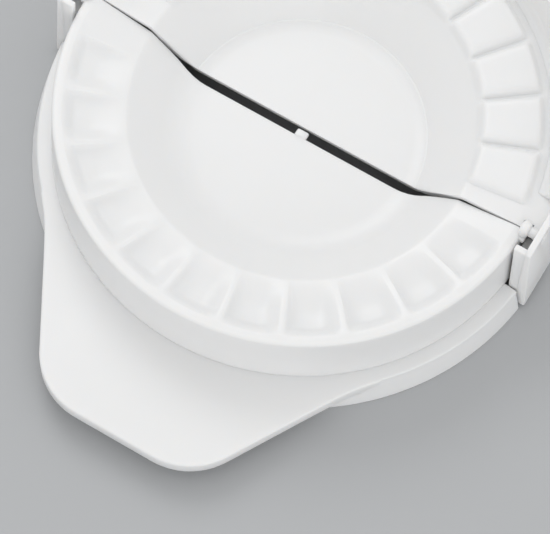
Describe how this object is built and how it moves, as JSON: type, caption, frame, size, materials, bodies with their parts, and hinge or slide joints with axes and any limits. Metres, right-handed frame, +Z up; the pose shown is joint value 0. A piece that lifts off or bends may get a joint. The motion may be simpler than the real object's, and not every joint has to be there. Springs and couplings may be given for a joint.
{
  "type": "empanada press",
  "caption": "Hinged two-half hand press for filled dough pockets: ridged half dish with stub pins folds onto a padded half dish with ears and a rim wall, each with a thumb tab.",
  "frame": {"origin": "on the table under the middle of the hinge line, at the centre of the base of the open press", "axes": "+X along the hinge axis, -Y towards the tab of the ridged half, +Z up from the table"},
  "size_m": [0.166, 0.219, 0.051],
  "materials": {
    "white_plastic": "smooth moulded plastic with a soft gloss"
  },
  "bodies": {
    "female": {"female_half": "white_plastic"},
    "male": {"male_half": "white_plastic"}
  },
  "joints": [
    {"name": "fold", "type": "hinge", "parent": "female", "child": "male", "pos_m": [0, 0, 0.0345], "axis": [-1, 0, 0], "range_deg": [0, 180]}
  ]
}
